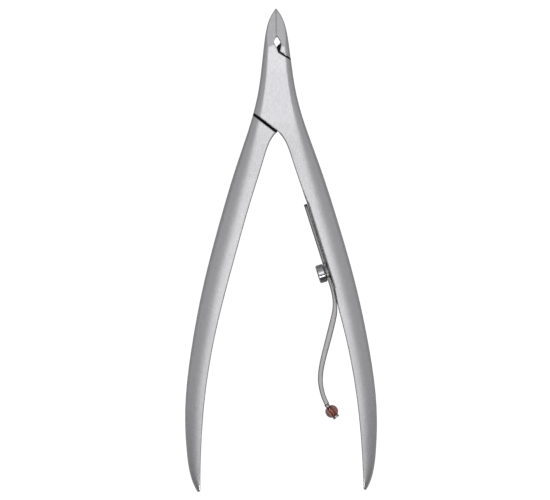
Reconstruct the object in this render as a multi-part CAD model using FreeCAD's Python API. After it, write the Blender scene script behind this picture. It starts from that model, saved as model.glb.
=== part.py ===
import FreeCAD, Part

import math
import os

from FreeCAD import Vector

# Cuticle nipper, lying flat on its back. Millimetres. +Y points to the jaws, +X to the right,
# +Z up through the thickness. The origin is on the line of symmetry, halfway along, at the
# underside of the joint. Both levers are cut from one symmetric forging, the blank.

# Blank
HALF_LENGTH = 57.5
JOINT_THICK = 6.1
MID_Z = JOINT_THICK / 2
# Stations from the jaw tips to the handle ends: y, half width, half thickness, width of the
# round-over, and its fullness (1 is a quarter of an ellipse, less is squarer)
STATIONS = [
    (57.5, 0.12, 1.60, 0.10, 0.6),
    (56.7, 0.72, 1.75, 0.40, 0.6),
    (55.2, 1.56, 1.95, 0.75, 0.6),
    (53.0, 2.28, 2.30, 1.00, 0.6),
    (49.0, 2.96, 2.75, 1.20, 0.55),
    (44.0, 3.56, 3.02, 1.50, 0.5),
    (38.65, 4.32, 3.07, 1.80, 0.5),
    (33.5, 5.47, 3.07, 2.20, 0.5),
    (28.0, 7.18, 3.02, 2.80, 0.6),
    (20.0, 9.97, 2.82, 4.00, 0.8),
    (8.0, 13.73, 2.66, 4.80, 1.0),
    (-8.0, 18.09, 2.62, 5.00, 1.0),
    (-24.0, 21.29, 2.52, 4.80, 1.0),
    (-38.0, 22.84, 2.20, 4.40, 1.0),
    (-48.0, 22.57, 1.78, 3.80, 1.0),
    (-54.0, 21.63, 1.40, 2.80, 1.0),
    (-57.5, 20.10, 1.00, 2.00, 1.0),
]
ROUND_STEPS = 4

# Space between the handles: inner edge from the crotch to the handle end
CROTCH_TOP = 28.15
INNER_EDGE = [(0.65, 27.7), (1.7, 26.2), (3.45, 21.5), (6.55, 11.9), (10.1, 0.0), (13.45, -11.9),
              (16.3, -23.9), (18.1, -35.0), (19.1, -46.0), (19.45, -56.0), (19.3, -66.0)]
END_RADIUS = 0.75
END_CENTRE = (20.1, -HALF_LENGTH + END_RADIUS)
# Flat milled into the right handle for the spring, with a run-out at each end
SEAT_TOP = (6.9, 11.4)
SEAT_END = (13.15, -9.2)
SEAT_RUN_OUTS = ((5.8, 14.2), (13.87, -13.4))
# Bevel along the flat's front edge, and the half thickness of the handle at the flat's two ends
SEAT_BEVEL = 0.25
SEAT_HALF_THICK = (2.70, 2.62)
# Lip left standing along the flat's back edge, and how far below the middle plane it starts
LIP_HEIGHT = 0.12
LIP_DEPTH = 2.3

# Lap joint, all on the front: the layers meet at the middle of the thickness
PIVOT_Y = 38.65
LAP_GAP = 0.04
SEAM_GAP = 0.03
LOWER_SHOULDER = ((-5.44, 32.2), (-0.7, 28.5))
LOWER_GAP = 0.6
UPPER_SHOULDER = ((0.6, 47.1), (3.1, 45.5))
UPPER_GAP = 0.35
WINDOW_TOP = 50.9
WINDOW_SIDE = (0.66, 49.5)
WINDOW_BOTTOM = 48.3
# Relief ground through both jaws where the window is
RELIEF = [(0.25, 50.95), (-0.68, 49.6), (-0.12, 48.4), (1.02, 49.55)]
JAW_ROOT = [(0.95, 49.5), (1.15, 49.0), (1.0, 48.1)]
# Where the shoulder lines start and end: x of the corners, and x clear of the joint's sides
PLATE_CORNER = 0.45
JAW_CORNER = 0.75
CROTCH_CORNER = 0.1
CLEAR_RIGHT = 10.0
CLEAR_LEFT = -12.0

# Jaws: ground facets and the hollow behind the cutting edges, heights from the middle plane
FACET_START_Y = 50.3
FRONT_FACET = (2.45, 0.80)
FRONT_FACET_SIDE_DROP = 0.06
BACK_FACET_START_Y = 47.0
BACK_FACET = (-2.75, -0.40)
FACET_MARGIN = 5.0
HOLLOW_RADII = (0.55, 1.75)
HOLLOW_SPAN = (HALF_LENGTH + 0.5, 49.0)
EDGE_THICK = 0.30

# Joint rivet, pressed into a blind bore in the front lever, with its countersunk head at the back
RIVET_RADIUS = 1.5
RIVET_LENGTH = 5.5
RIVET_HEAD_RADIUS = 2.3
RIVET_HEAD_DEPTH = 0.9
RUNNING_CLEARANCE = 0.03

# Leaf spring, its screw and the washer it swivels on
SCREW_FROM_TOP = 17.35
WASHER_RADIUS = 2.1
WASHER_THICK = 0.15
SPRING_THICK = 0.8
TAIL_LENGTH = 16.95
TAIL_LIFT = 0.03
HEAD_RADIUS = 2.2
HEAD_HEIGHT = 1.85
HEAD_CHAMFER = 0.25
SLOT_WIDTH = 0.6
SLOT_DEPTH = 0.8
NECK_RADIUS = 1.3
SHANK_RADIUS = 1.0
SHANK_LENGTH = 3.2
DRILL_DEPTH = 3.5
SPRING_HOLE_RADIUS = 1.35
TAIL_WIDTH = 2.4
EYE_WIDTH = 4.4
ARM_WIDTH = 3.2
ARM_END_WIDTH = 1.5
ARM_REACH = (4.0, 40.0)
# Centre line of the free arm past the screw, and the strip's thickness there
ARM_LINE = [(12.65, -9.7, 0.8), (13.08, -12.1, 0.85), (13.15, -14.5, 1.15), (12.7, -16.9, 1.3),
            (12.1, -19.25, 1.35), (10.8, -24.0, 1.3), (9.7, -28.7, 1.2), (9.5, -31.2, 1.15),
            (9.8, -33.6, 1.1), (10.5, -35.85, 1.1), (11.03, -36.93, 1.1)]

# Roller bead on the round pin at the spring's end
BEAD_CENTRE = Vector(12.12, -38.67, MID_Z)
BEAD_AXIS = Vector(0.6, -0.8, 0)
BEAD_RADIUS = 1.55
BEAD_LENGTH = 2.6
BORE_RADIUS = 0.62
PIN_RADIUS = 0.55
PIN_START = 2.2
CAP_RADIUS = 0.8
CAP_LENGTH = 0.5
BEAD_END_PLAY = 0.08

BIG = 80.0

# Directions of the spring's seat, and the point on it where the screw stands
ALONG_HANDLE = Vector(SEAT_END[0] - SEAT_TOP[0], SEAT_END[1] - SEAT_TOP[1], 0).normalize()
SCREW_AXIS = Vector(ALONG_HANDLE.y, -ALONG_HANDLE.x, 0)
SCREW_POINT = Vector(*SEAT_TOP, MID_Z) + ALONG_HANDLE * SCREW_FROM_TOP


def at(point, z=0.0):
    return Vector(point[0], point[1], z)


def mirrored(points):
    return [(-x, y) for x, y in points]


def prism(points, z_low, z_high):
    """Upright solid on a closed polygon of (x, y) corners."""
    corners = [at(point, z_low) for point in points]
    face = Part.Face(Part.makePolygon(corners + corners[:1]))
    return face.extrude(Vector(0, 0, z_high - z_low))


def spline(points):
    curve = Part.BSplineCurve()
    curve.interpolate(points)
    return curve.toShape()


def station_spline(points):
    """Smooth edge at even parameters, so that the stations loft without extra knots."""
    curve = Part.BSplineCurve()
    steps = [index / (len(points) - 1) for index in range(len(points))]
    curve.interpolate(Points=points, Parameters=steps)
    return curve.toShape()


def side_profile(half_width, half_thick, round_width, fullness, y):
    """Edge of the blank at one station: from the back, round the side, to the front."""
    points = []
    for step in range(-ROUND_STEPS, ROUND_STEPS + 1):
        angle = math.radians(90 * step / ROUND_STEPS)
        x = half_width - round_width * (1 - math.cos(angle))
        rise = abs(math.sin(angle)) ** fullness
        points.append(Vector(x, y, math.copysign(half_thick * rise, angle)))
    return points


def section(y, half_width, half_thick, round_width, fullness):
    right = side_profile(half_width, half_thick, round_width, fullness, y)
    left = [Vector(-point.x, y, point.z) for point in reversed(right)]
    return Part.Wire([station_spline(right), Part.makeLine(right[-1], left[0]),
                      station_spline(left), Part.makeLine(left[-1], right[0])])


def handle_space():
    """Upright solid of the space between the handles, arched at the crotch."""
    edge = [at(point, -BIG) for point in INNER_EDGE]
    top = Vector(0, CROTCH_TOP, -BIG)
    left = [Vector(-point.x, point.y, point.z) for point in reversed(edge)]
    curve = spline(left + [top] + edge)
    wire = Part.Wire([curve, Part.makeLine(edge[-1], left[0])])
    return Part.Face(wire).extrude(Vector(0, 0, 2 * BIG))


def spring_seat():
    """Upright solid that leaves the flat for the spring on the right handle, with its lip."""
    top, end = SEAT_RUN_OUTS
    outline = [top, SEAT_TOP, SEAT_END, end, (0, end[1]), (0, top[1])]
    below = prism(outline, -BIG, -LIP_DEPTH)
    below.translate(SCREW_AXIS * LIP_HEIGHT)
    return prism(outline, -LIP_DEPTH, BIG).fuse(below)


def seat_bevel():
    """What a bevel takes off the front edge of the spring's flat."""
    slant = Vector(0, 0, SEAT_BEVEL) - SCREW_AXIS * SEAT_BEVEL
    ends = zip((SEAT_TOP, SEAT_END), SEAT_HALF_THICK)
    edge = [at(point, height - SEAT_BEVEL) for point, height in ends]
    below = [point - slant for point in edge]
    above = [point + slant * 3 for point in reversed(edge)]
    face = Part.Face(Part.makePolygon(below + above + below[:1]))
    return face.extrude(SCREW_AXIS + Vector(0, 0, 1))


def end_trimmer():
    """What lies below the round handle ends."""
    trim = Part.makeBox(BIG, BIG, BIG, Vector(-BIG / 2, END_CENTRE[1] - BIG, -BIG / 2))
    for side in (-1, 1):
        centre = Vector(side * END_CENTRE[0], END_CENTRE[1], -BIG / 2)
        trim = trim.cut(Part.makeCylinder(END_RADIUS, BIG, centre))
    return trim


def facet_cutter(start_y, heights, side):
    """Everything beyond a ground facet that runs from start_y to the tips; side is 1 in front."""
    slope = (heights[1] - heights[0]) / (HALF_LENGTH - start_y)
    far_y = HALF_LENGTH + FACET_MARGIN
    far_z = heights[0] + slope * (far_y - start_y)
    near_y = start_y - FACET_MARGIN
    near_z = heights[0] - slope * FACET_MARGIN
    drop = FRONT_FACET_SIDE_DROP * BIG if side > 0 else 0
    cutters = []
    for hand in (-1, 1):
        ridge = [Vector(0, near_y, near_z), Vector(0, far_y, far_z)]
        outer = [Vector(hand * BIG, far_y, far_z - drop), Vector(hand * BIG, near_y, near_z - drop)]
        face = Part.Face(Part.makePolygon(ridge + outer + ridge[:1]))
        cutters.append(face.extrude(Vector(0, 0, side * BIG)))
    return cutters[0].fuse(cutters[1])


def jaw_hollow():
    """Cone ground into the back of the jaws, which leaves thin cutting edges at the front."""
    slope = (FRONT_FACET[1] - FRONT_FACET[0]) / (HALF_LENGTH - FACET_START_Y)
    tip_y, root_y = HOLLOW_SPAN
    axis = Vector(0, root_y - tip_y, slope * (root_y - tip_y))
    tip_top = FRONT_FACET[1] + slope * (tip_y - HALF_LENGTH) - EDGE_THICK
    start = Vector(0, tip_y, tip_top - HOLLOW_RADII[0])
    axis.z -= HOLLOW_RADII[1] - HOLLOW_RADII[0]
    return Part.makeCone(HOLLOW_RADII[0], HOLLOW_RADII[1], axis.Length, start, axis)


def make_blank():
    """The closed tool as one solid about the middle plane, ready to be split into two levers."""
    wires = [section(*station) for station in STATIONS]
    blank = Part.makeLoft(wires, True, False)
    flat = Part.makeBox(BIG, 2 * BIG, JOINT_THICK, Vector(-BIG / 2, -BIG, -MID_Z))
    blank = blank.common(flat)
    for cutter in (handle_space(), end_trimmer(), facet_cutter(FACET_START_Y, FRONT_FACET, 1),
                   facet_cutter(BACK_FACET_START_Y, BACK_FACET, -1), jaw_hollow(),
                   prism(RELIEF, -BIG, BIG)):
        blank = blank.cut(cutter)
    return blank


def line_through(line, offset):
    """Point function of the line at an x, moved up by offset measured square to the line."""
    (x0, y0), (x1, y1) = line
    slope = (y1 - y0) / (x1 - x0)
    lift = offset * math.hypot(1, slope)
    return lambda x: (x, y0 + slope * (x - x0) + lift)


def front_layer_outline():
    """What the front lever keeps of the front layer: left jaw, lap plate and right handle."""
    upper = line_through(UPPER_SHOULDER, -UPPER_GAP / 2)
    lower = line_through(LOWER_SHOULDER, LOWER_GAP / 2)
    plate_right = upper(CLEAR_RIGHT)
    plate_left = lower(CLEAR_LEFT)
    left = -BIG / 2
    right = BIG / 2
    return [(-SEAM_GAP / 2, BIG), (-SEAM_GAP / 2, WINDOW_TOP), (-WINDOW_SIDE[0], WINDOW_SIDE[1]),
            (0, WINDOW_BOTTOM), upper(PLATE_CORNER), plate_right, (right, plate_right[1]), (right, -BIG),
            (0, -BIG), lower(CROTCH_CORNER), plate_left, (left, plate_left[1]), (left, BIG)]


def jaw_outline():
    """Right jaw in the front layer, down to its shoulder."""
    shoulder = line_through(UPPER_SHOULDER, UPPER_GAP / 2)
    return [(SEAM_GAP / 2, BIG), (SEAM_GAP / 2, WINDOW_TOP)] + JAW_ROOT + [
        shoulder(JAW_CORNER), shoulder(CLEAR_RIGHT), (CLEAR_RIGHT, BIG)]


def handle_outline():
    """Left handle in the front layer, up to its shoulder."""
    shoulder = line_through(LOWER_SHOULDER, -LOWER_GAP / 2)
    end = shoulder(CLEAR_LEFT)
    return [shoulder(0), (0, -BIG), (-BIG / 2, -BIG), (-BIG / 2, end[1]), end]


def lever_region():
    """Solid that holds the front lever, and only that, of the blank."""
    split = LAP_GAP / 2
    front = prism(front_layer_outline(), split, BIG)
    jaw = prism(mirrored(jaw_outline()), -BIG, split)
    handle = prism(mirrored(handle_outline()), -BIG, split)
    return front.fuse([jaw, handle])


def rivet(radius_gap):
    """Rivet about the middle plane, or its running hole when the gap is more than nothing."""
    foot = Vector(0, PIVOT_Y, -MID_Z)
    shank = Part.makeCylinder(RIVET_RADIUS + radius_gap, RIVET_LENGTH, foot)
    head = Part.makeCone(RIVET_HEAD_RADIUS + radius_gap, RIVET_RADIUS + radius_gap, RIVET_HEAD_DEPTH, foot)
    return shank.fuse(head).removeSplitter()


def raise_up(shape):
    """From the middle plane to the part's own height."""
    shape.translate(Vector(0, 0, MID_Z))
    return shape


def screw_hole():
    """Drilled hole in the right handle, square to the seat."""
    start = SCREW_POINT + SCREW_AXIS * -DRILL_DEPTH
    return Part.makeCylinder(SHANK_RADIUS, DRILL_DEPTH + 1, start, SCREW_AXIS)


def make_levers():
    blank = make_blank()
    region = lever_region()
    front = blank.common(region).cut(spring_seat()).cut(seat_bevel())
    region.rotate(Vector(0, 0, 0), Vector(0, 1, 0), 180)
    back = blank.common(region)
    front = raise_up(front.cut(rivet(0))).cut(screw_hole())
    back = raise_up(back.cut(rivet(RUNNING_CLEARANCE)))
    return front, back


def make_rivet():
    return raise_up(rivet(0))


def strip_outline():
    """Leaf spring seen square to its edge: thick line along the handle, then the free arm."""
    inner = WASHER_THICK + RUNNING_CLEARANCE
    outer = inner + SPRING_THICK

    def beside(along, out):
        return SCREW_POINT + ALONG_HANDLE * along + SCREW_AXIS * out

    eye = EYE_WIDTH / 2
    places = [(-TAIL_LENGTH, TAIL_LIFT), (-TAIL_LENGTH / 2, 0), (-eye, 0), (0, 0), (eye, 0)]
    near = [beside(along, inner + lift) for along, lift in places]
    far = [beside(along, outer + lift) for along, lift in places]
    line = [Vector(x, y, MID_Z) for x, y, thick in ARM_LINE]
    for index, (x, y, thick) in enumerate(ARM_LINE):
        before = line[max(index - 1, 0)]
        after = line[min(index + 1, len(line) - 1)]
        run = (after - before).normalize()
        side = Vector(run.y, -run.x, 0) * (thick / 2)
        near.append(line[index] - side)
        far.append(line[index] + side)
    wire = Part.Wire([spline(near), Part.makeLine(near[-1], far[-1]), spline(list(reversed(far))),
                      Part.makeLine(far[0], near[0])])
    return Part.Face(wire)


def strip_width():
    """Leaf spring seen square to its face: eye at the screw, tapering both ways."""
    def beside(along, up):
        return SCREW_POINT + ALONG_HANDLE * along + Vector(0, 0, up)

    eye = EYE_WIDTH / 2
    arm_start, arm_end = ARM_REACH
    wide = ARM_WIDTH / 2
    narrow = ARM_END_WIDTH / 2
    upper = [beside(-eye, wide), beside(arm_start, wide), beside(arm_end, narrow)]
    lower = [beside(arm_end, -narrow), beside(arm_start, -wide), beside(-eye, -wide)]
    arm = Part.Face(Part.makePolygon(upper + lower + upper[:1]))
    half = TAIL_WIDTH / 2
    straight = -TAIL_LENGTH + half
    corners = [beside(eye, half), beside(straight, half), beside(straight, -half), beside(eye, -half)]
    tail = Part.Face(Part.makePolygon(corners + corners[:1]))
    solids = [face.extrude(SCREW_AXIS * (2 * BIG)) for face in (arm, tail)]
    solids.append(Part.makeCylinder(EYE_WIDTH / 2, 2 * BIG, SCREW_POINT, SCREW_AXIS))
    solids.append(Part.makeCylinder(half, 2 * BIG, beside(straight, 0), SCREW_AXIS))
    for solid in solids:
        solid.translate(SCREW_AXIS * -BIG)
    return solids[0].fuse(solids[1:])


def make_leaf_spring():
    face = strip_outline()
    strip = face.extrude(Vector(0, 0, EYE_WIDTH * 2))
    strip.translate(Vector(0, 0, -EYE_WIDTH))
    strip = strip.common(strip_width())
    start = SCREW_POINT + SCREW_AXIS * -BIG
    strip = strip.cut(Part.makeCylinder(SPRING_HOLE_RADIUS, 2 * BIG, start, SCREW_AXIS))
    foot = BEAD_CENTRE - BEAD_AXIS * PIN_START
    pin_length = PIN_START + BEAD_LENGTH / 2 + BEAD_END_PLAY + CAP_LENGTH
    pin = Part.makeCylinder(PIN_RADIUS, pin_length, foot, BEAD_AXIS)
    return strip.fuse(pin).removeSplitter()


def make_swivel_washer():
    ring = Part.makeCylinder(WASHER_RADIUS, WASHER_THICK, SCREW_POINT, SCREW_AXIS)
    return ring.cut(Part.makeCylinder(NECK_RADIUS, WASHER_THICK, SCREW_POINT, SCREW_AXIS))


def make_spring_screw():
    neck_length = WASHER_THICK + SPRING_THICK + 3 * RUNNING_CLEARANCE
    under_head = SCREW_POINT + SCREW_AXIS * neck_length
    head = Part.makeCylinder(HEAD_RADIUS, HEAD_HEIGHT, under_head, SCREW_AXIS)
    head = head.makeChamfer(HEAD_CHAMFER, head.Edges)
    slot = Part.makeBox(4 * HEAD_RADIUS, SLOT_WIDTH, 2 * SLOT_DEPTH)
    slot.translate(Vector(-2 * HEAD_RADIUS, -SLOT_WIDTH / 2, -SLOT_DEPTH))
    turn = FreeCAD.Rotation(ALONG_HANDLE, Vector(0, 0, 1), SCREW_AXIS, "XZY")
    slot.Placement = FreeCAD.Placement(under_head + SCREW_AXIS * HEAD_HEIGHT, turn).multiply(slot.Placement)
    neck = Part.makeCylinder(NECK_RADIUS, neck_length, SCREW_POINT, SCREW_AXIS)
    shank_end = SCREW_POINT + SCREW_AXIS * -SHANK_LENGTH
    shank = Part.makeCylinder(SHANK_RADIUS, SHANK_LENGTH, shank_end, SCREW_AXIS)
    return head.cut(slot).fuse([neck, shank]).removeSplitter()


def make_roller_bead():
    """Ball with flattened ends and a straight bore."""
    start = BEAD_CENTRE - BEAD_AXIS * (BEAD_LENGTH / 2)
    ball = Part.makeSphere(BEAD_RADIUS, BEAD_CENTRE)
    slab = Part.makeCylinder(2 * BEAD_RADIUS, BEAD_LENGTH, start, BEAD_AXIS)
    bore = Part.makeCylinder(BORE_RADIUS, BEAD_LENGTH, start, BEAD_AXIS)
    return ball.common(slab).cut(bore)


def make_bead_cap():
    start = BEAD_CENTRE + BEAD_AXIS * (BEAD_LENGTH / 2 + BEAD_END_PLAY)
    cap = Part.makeCylinder(CAP_RADIUS, CAP_LENGTH, start, BEAD_AXIS)
    return cap.cut(Part.makeCylinder(PIN_RADIUS, CAP_LENGTH, start, BEAD_AXIS))


def main():
    front_lever, back_lever = make_levers()
    pieces = {
        "front_lever": front_lever,
        "back_lever": back_lever,
        "joint_rivet": make_rivet(),
        "leaf_spring": make_leaf_spring(),
        "swivel_washer": make_swivel_washer(),
        "spring_screw": make_spring_screw(),
        "roller_bead": make_roller_bead(),
        "bead_cap": make_bead_cap(),
    }
    os.makedirs("parts", exist_ok=True)
    for name, shape in pieces.items():
        solid = shape.Solids[0]
        solid.exportStep(f"parts/{name}.step")
        print(name, len(shape.Solids), solid.isValid(), round(solid.Volume, 2))


main()
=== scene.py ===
import math

import bpy
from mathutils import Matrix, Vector


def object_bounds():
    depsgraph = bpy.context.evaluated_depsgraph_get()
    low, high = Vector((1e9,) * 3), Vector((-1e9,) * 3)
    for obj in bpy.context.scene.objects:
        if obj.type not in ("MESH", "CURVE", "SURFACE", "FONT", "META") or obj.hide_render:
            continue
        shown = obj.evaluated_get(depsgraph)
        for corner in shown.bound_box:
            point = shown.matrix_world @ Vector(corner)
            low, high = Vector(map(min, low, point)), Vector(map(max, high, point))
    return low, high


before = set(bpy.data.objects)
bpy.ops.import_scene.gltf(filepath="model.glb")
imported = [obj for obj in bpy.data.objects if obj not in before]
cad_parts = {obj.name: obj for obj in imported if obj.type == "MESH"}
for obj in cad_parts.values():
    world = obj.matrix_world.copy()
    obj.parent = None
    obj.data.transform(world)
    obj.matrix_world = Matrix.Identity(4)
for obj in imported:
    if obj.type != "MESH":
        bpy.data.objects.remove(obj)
cad_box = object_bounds()

MM = 0.001
LOW, HIGH = (Vector(corner) for corner in cad_box)
LENGTH = HIGH.y - LOW.y
MID_Z = (LOW.z + HIGH.z) / 2

# Camera: straight above, a long lens, turned a little
VIEW_WIDTH = 1.141 * LENGTH
CAMERA_HEIGHT = 0.9
CAMERA_SIDE = -0.0082 * LENGTH
CAMERA_ROLL = math.radians(-0.7)
SENSOR = 36.0

# Painted shade and darkening: the dark colour and its roughness, how strongly painted shade shows on
# the jaw seam, how strongly the spring's tail is darkened, and where along Y each begins
DARK_TONE = (0.06, 0.06, 0.064)
DARK_ROUGH = 0.7
SEAM_SHADE = 0.3
SEAM_START = 50.5 * MM
TAIL_DARKENING = 0.3
TAIL_FADE = (-12 * MM, -4 * MM)

# Blob size of the slow changes of tone in the steel
SLOW_TONE = 5 * MM

# Paper: width, gap below the object, grey that the object sees and white that the camera sees
PAPER_SIZE = 4.0
PAPER_GAP = 0.05 * MM
PAPER_GREY = (0.55, 0.55, 0.56)
WHITE = 1.05

# Sky: brightness at angles in degrees from its brightest point, which leans towards the jaws
SKY = [(0, 1.43), (7, 1.27), (13, 0.98), (20, 0.68), (28, 0.46), (38, 0.41), (55, 0.40), (90, 0.38)]
SKY_LEAN = 5.0
# What the brightness is multiplied by, from the handle side (-1) to the jaw side (1)
SIDES = [(-1.0, 0.15), (-0.6, 0.30), (-0.3, 0.55), (-0.14, 0.66), (-0.05, 0.80), (0.0, 0.90),
         (0.17, 1.05), (0.5, 1.0), (1.0, 0.7)]

# Strip light: length, width, power and place
STRIP_SIZE = (0.5, 0.06)
STRIP_POWER = 0.8
STRIP_PLACE = (0, -0.35, 0.50)


# ---- node helpers ---------------------------------------------------------------------------

def new_material(name):
    material = bpy.data.materials.new(name)
    material.use_nodes = True
    tree = material.node_tree
    return material, tree, tree.nodes["Principled BSDF"]


def node(tree, kind, **values):
    """Adds a node and sets its properties."""
    made = tree.nodes.new("ShaderNode" + kind)
    for key, value in values.items():
        setattr(made, key, value)
    return made


def wire(tree, source, target, output=0, socket=0):
    """Joins two nodes; each socket is a name or a number."""
    tree.links.new(source.outputs[output], target.inputs[socket])


def noise(tree, size, stretch=(1, 1, 1), detail=3.0):
    """Noise whose blobs are about size metres across, drawn out by stretch along X, Y and Z."""
    place = node(tree, "TexCoord")
    mapping = node(tree, "Mapping")
    mapping.inputs["Scale"].default_value = [1 / (size * along) for along in stretch]
    wire(tree, place, mapping, "Object", "Vector")
    texture = node(tree, "TexNoise")
    texture.inputs["Scale"].default_value = 1.0
    texture.inputs["Detail"].default_value = detail
    wire(tree, mapping, texture, "Vector", "Vector")
    return texture


def spread(tree, source, low, high, start=0.3, end=0.7, output="Fac"):
    """Maps a value that runs from start to end onto low to high."""
    ranged = node(tree, "MapRange")
    ranged.inputs["From Min"].default_value = start
    ranged.inputs["From Max"].default_value = end
    ranged.inputs["To Min"].default_value = low
    ranged.inputs["To Max"].default_value = high
    wire(tree, source, ranged, output, "Value")
    return ranged


def edge_factor(tree, radius):
    """1 on sharp edges and 0 on open surface, from how far a rounded normal leaves the true one."""
    soft = node(tree, "Bevel", samples=4)
    soft.inputs["Radius"].default_value = radius
    dot = node(tree, "VectorMath", operation="DOT_PRODUCT")
    wire(tree, soft, dot, "Normal", 0)
    wire(tree, node(tree, "NewGeometry"), dot, "Normal", 1)
    return spread(tree, dot, 1.0, 0.0, 0.8, 0.98, "Value")


def blend_colour(tree, factor, low, high):
    """Colour that runs from low to high; either end may be a socket or an RGB triple."""
    mix = node(tree, "Mix", data_type="RGBA")
    tree.links.new(factor, mix.inputs["Factor"])
    for socket, value in (("A", low), ("B", high)):
        if isinstance(value, tuple):
            mix.inputs[socket].default_value = (*value, 1)
        else:
            tree.links.new(value, mix.inputs[socket])
    return mix.outputs["Result"]


def blend_number(tree, factor, low, high):
    """Number that runs from low to high; either end may be a socket or a float."""
    mix = node(tree, "Mix", data_type="FLOAT")
    tree.links.new(factor, mix.inputs["Factor"])
    for socket, value in (("A", low), ("B", high)):
        if isinstance(value, float):
            mix.inputs[socket].default_value = value
        else:
            tree.links.new(value, mix.inputs[socket])
    return mix.outputs["Result"]


def distance(tree, value, centre):
    """How far a coordinate is from a centre."""
    offset = node(tree, "Math", operation="SUBTRACT")
    offset.inputs[1].default_value = centre
    tree.links.new(value, offset.inputs[0])
    size = node(tree, "Math", operation="ABSOLUTE")
    tree.links.new(offset.outputs[0], size.inputs[0])
    return size


def combine(tree, operation, first, second):
    """Joins two values with a maths operation."""
    made = node(tree, "Math", operation=operation)
    wire(tree, first, made, 0, 0)
    wire(tree, second, made, 0, 1)
    return made


def scaled(colour, factor):
    return tuple(factor * part for part in colour)


# ---- materials ------------------------------------------------------------------------------

def joint_painted_shade(tree):
    """Painted shade: 1 on the hidden faces of the lap joint, so the gaps between the parts show dark,
    part of the way on the seam of the jaws, 0 elsewhere.
    """
    place = node(tree, "SeparateXYZ")
    wire(tree, node(tree, "TexCoord"), place, "Object", 0)
    face = node(tree, "SeparateXYZ")
    wire(tree, node(tree, "NewGeometry"), face, "True Normal", 0)
    near = spread(tree, distance(tree, place.outputs["Z"], MID_Z), 1.0, 0.0, 0.1 * MM, 0.2 * MM, 0)
    flat = spread(tree, distance(tree, face.outputs["Z"], 0), 0.0, 1.0, 0.9, 0.95, 0)
    # Painted shade on the hidden lap faces, standing for the shadow in the joint gaps
    lap = combine(tree, "MULTIPLY", near, flat)
    # Painted shade along the seam between the jaws
    seam = spread(tree, distance(tree, place.outputs["X"], 0), SEAM_SHADE, 0.0, 0.03 * MM, 0.2 * MM, 0)
    jaws = spread(tree, place, 0.0, 1.0, SEAM_START, SEAM_START + 1 * MM, "Y")
    return combine(tree, "MAXIMUM", lap, combine(tree, "MULTIPLY", seam, jaws)).outputs[0]


def tail_darkening(tree):
    """Part of the way to the dark tone along the clamped tail of the spring, fading past the screw."""
    place = node(tree, "SeparateXYZ")
    wire(tree, node(tree, "TexCoord"), place, "Object", 0)
    return spread(tree, place, 0.0, TAIL_DARKENING, *TAIL_FADE, "Y").outputs[0]


def metal(name, colour, rough, grain, grain_stretch, relief, blend_radius, edge_radius, edge_rough,
          edge_shade_tone, darken_mask=None):
    """Ground or blasted steel: fine grain, slow changes of tone, edges glossier from wear and darkened
    as painted shade of their rounding.

    blend_radius softens the shading over edges; edge_radius is how far the wear and the painted edge
    shade reach from them.
    """
    material, tree, shader = new_material(name)
    shader.inputs["Metallic"].default_value = 1.0
    fine = noise(tree, grain, grain_stretch, 2.0)
    streaks = noise(tree, 2.5 * grain, grain_stretch, 3.0)
    slow = noise(tree, SLOW_TONE, (1, 3, 1), 3.0)
    cloudy = blend_colour(tree, spread(tree, slow, 0.0, 1.0).outputs[0], scaled(colour, 0.96), colour)
    tone = blend_colour(tree, spread(tree, streaks, 0.0, 1.0).outputs[0], scaled(colour, 0.88), cloudy)
    grainy = spread(tree, fine, 0.85 * rough, 1.15 * rough).outputs[0]
    edge_shade_and_wear = edge_factor(tree, edge_radius).outputs[0]
    gloss = blend_number(tree, edge_shade_and_wear, grainy, edge_rough)
    # Painted shade: edges darken towards the edge tone, standing for their rounding turned away from
    # the light
    tone = blend_colour(tree, edge_shade_and_wear, tone, scaled(colour, edge_shade_tone))
    # Darkening towards the dark tone: painted shade in the joint gaps and jaw seam, or the darker tail
    # of the spring
    if darken_mask:
        darkening = darken_mask(tree)
        tone = blend_colour(tree, darkening, tone, DARK_TONE)
        gloss = blend_number(tree, darkening, gloss, DARK_ROUGH)
    tree.links.new(tone, shader.inputs["Base Color"])
    tree.links.new(gloss, shader.inputs["Roughness"])
    soft = node(tree, "Bevel", samples=8)
    soft.inputs["Radius"].default_value = blend_radius
    bump = node(tree, "Bump")
    bump.inputs["Distance"].default_value = relief
    bump.inputs["Strength"].default_value = 0.6
    tree.links.new(fine.outputs["Fac"], bump.inputs["Height"])
    tree.links.new(soft.outputs["Normal"], bump.inputs["Normal"])
    tree.links.new(bump.outputs["Normal"], shader.inputs["Normal"])
    return material


def satin_steel():
    return metal("satin_steel", (0.81, 0.81, 0.82), rough=0.30, grain=0.09 * MM,
                 grain_stretch=(1, 8, 1), relief=0.004 * MM, blend_radius=0.45 * MM,
                 edge_radius=0.14 * MM, edge_rough=0.22, edge_shade_tone=0.70, darken_mask=joint_painted_shade)


def spring_steel():
    # Wide edge radius: painted shade over the strip's narrow faces, for the look of a rounded section
    return metal("spring_steel", (0.56, 0.54, 0.53), rough=0.24, grain=0.08 * MM,
                 grain_stretch=(1, 10, 1), relief=0.003 * MM, blend_radius=0.60 * MM,
                 edge_radius=0.60 * MM, edge_rough=0.18, edge_shade_tone=0.6, darken_mask=tail_darkening)


def polished_steel():
    return metal("polished_steel", (0.70, 0.70, 0.72), rough=0.09, grain=0.15 * MM,
                 grain_stretch=(1, 1, 1), relief=0.001 * MM, blend_radius=0.08 * MM,
                 edge_radius=0.08 * MM, edge_rough=0.12, edge_shade_tone=0.6)


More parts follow.
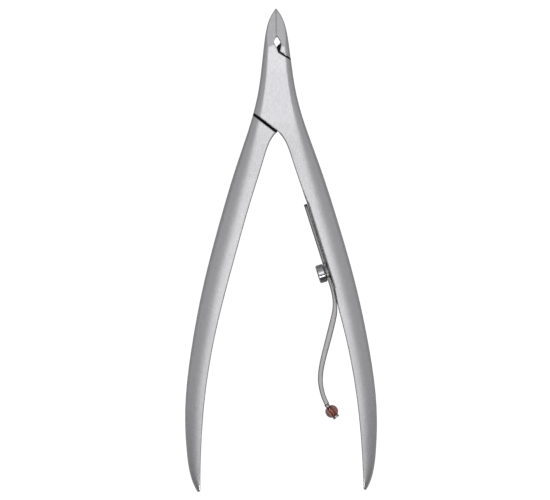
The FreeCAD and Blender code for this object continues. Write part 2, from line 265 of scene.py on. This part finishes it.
def ruby_resin():
    """Clear dark red resin with a little cloud in it, through which the pin shows."""
    material, tree, shader = new_material("ruby_resin")
    cloud = spread(tree, noise(tree, 0.8 * MM), 0.0, 1.0)
    tone = blend_colour(tree, cloud.outputs[0], (0.80, 0.34, 0.30), (0.97, 0.64, 0.57))
    tree.links.new(tone, shader.inputs["Base Color"])
    shader.inputs["Transmission Weight"].default_value = 1.0
    shader.inputs["IOR"].default_value = 1.45
    wear = spread(tree, noise(tree, 0.2 * MM), 0.02, 0.07)
    tree.links.new(wear.outputs[0], shader.inputs["Roughness"])
    return material


def dress(names, material):
    """Gives the CAD nodes of these names one material."""
    for name in names:
        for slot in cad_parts[name].material_slots:
            slot.material = material


# ---- stage ----------------------------------------------------------------------------------

def floor():
    """White paper lit past white, which the object reflects as a pale grey."""
    bpy.ops.mesh.primitive_plane_add(size=PAPER_SIZE, location=(0, 0, LOW.z - PAPER_GAP))
    ground = bpy.context.object
    ground.name = "floor"
    material, tree, shader = new_material("floor_paper")
    shader.inputs["Base Color"].default_value = (*PAPER_GREY, 1)
    shader.inputs["Roughness"].default_value = 0.9
    glow = node(tree, "Emission")
    glow.inputs["Strength"].default_value = WHITE
    path = node(tree, "LightPath")
    mix = node(tree, "MixShader")
    tree.links.new(path.outputs["Is Camera Ray"], mix.inputs[0])
    tree.links.new(shader.outputs[0], mix.inputs[1])
    tree.links.new(glow.outputs[0], mix.inputs[2])
    tree.links.new(mix.outputs[0], tree.nodes["Material Output"].inputs["Surface"])
    ground.data.materials.append(material)


def ramp(tree, source, stops):
    """Ramp of very slightly blue greys on a value from 0 to 1."""
    made = node(tree, "ValToRGB")
    elements = made.color_ramp.elements
    while len(elements) < len(stops):
        elements.new(0.5)
    for element, (position, grey) in zip(elements, stops):
        element.position = position
        element.color = (grey, grey, grey * 1.01, 1)
    tree.links.new(source, made.inputs["Fac"])
    return made.outputs["Color"]


def sky():
    """Overhead softbox that fades to a grey studio, which is darker on the handle side."""
    world = bpy.data.worlds.new("studio")
    bpy.context.scene.world = world
    world.use_nodes = True
    tree = world.node_tree
    background = tree.nodes["Background"]
    place = node(tree, "TexCoord")
    lean = node(tree, "VectorMath", operation="DOT_PRODUCT")
    tilt = math.radians(SKY_LEAN)
    lean.inputs[1].default_value = (0, math.sin(tilt), math.cos(tilt))
    tree.links.new(place.outputs["Generated"], lean.inputs[0])
    from_peak = [(max(0, math.cos(math.radians(angle))), grey) for angle, grey in reversed(SKY)]
    overhead = ramp(tree, lean.outputs["Value"], from_peak)
    split = node(tree, "SeparateXYZ")
    tree.links.new(place.outputs["Generated"], split.inputs[0])
    along = spread(tree, split, 0.0, 1.0, -1.0, 1.0, "Y")
    sides = ramp(tree, along.outputs[0], [((y + 1) / 2, grey) for y, grey in SIDES])
    both = node(tree, "Mix", data_type="RGBA", blend_type="MULTIPLY")
    both.inputs["Factor"].default_value = 1.0
    tree.links.new(overhead, both.inputs["A"])
    tree.links.new(sides, both.inputs["B"])
    path = node(tree, "LightPath")
    mix = node(tree, "Mix", data_type="RGBA")
    tree.links.new(path.outputs["Is Camera Ray"], mix.inputs[0])
    tree.links.new(both.outputs["Result"], mix.inputs["A"])
    mix.inputs["B"].default_value = (WHITE, WHITE, WHITE, 1)
    tree.links.new(mix.outputs["Result"], background.inputs["Color"])


def strip_light():
    """Narrow softbox low on the handle side: the white band on the screw and the bead."""
    light = bpy.data.lights.new("strip", "AREA")
    light.shape = "RECTANGLE"
    light.size, light.size_y = STRIP_SIZE
    light.energy = STRIP_POWER
    lamp = bpy.data.objects.new("strip", light)
    bpy.context.collection.objects.link(lamp)
    lamp.location = STRIP_PLACE
    lamp.rotation_euler = Vector(lamp.location).to_track_quat("Z", "Y").to_euler()


def camera():
    lens = bpy.data.cameras.new("camera")
    lens.sensor_width = SENSOR
    lens.lens = SENSOR * CAMERA_HEIGHT / VIEW_WIDTH
    eye = bpy.data.objects.new("camera", lens)
    bpy.context.collection.objects.link(eye)
    eye.location = (CAMERA_SIDE, 0, HIGH.z / 2 + CAMERA_HEIGHT)
    eye.rotation_euler = (0, 0, CAMERA_ROLL)
    bpy.context.scene.camera = eye


def main():
    dress(["front_lever", "back_lever", "joint_rivet"], satin_steel())
    dress(["leaf_spring", "swivel_washer"], spring_steel())
    dress(["spring_screw", "bead_cap"], polished_steel())
    dress(["roller_bead"], ruby_resin())
    floor()
    sky()
    strip_light()
    camera()
    bpy.context.scene.view_settings.view_transform = "Standard"


main()
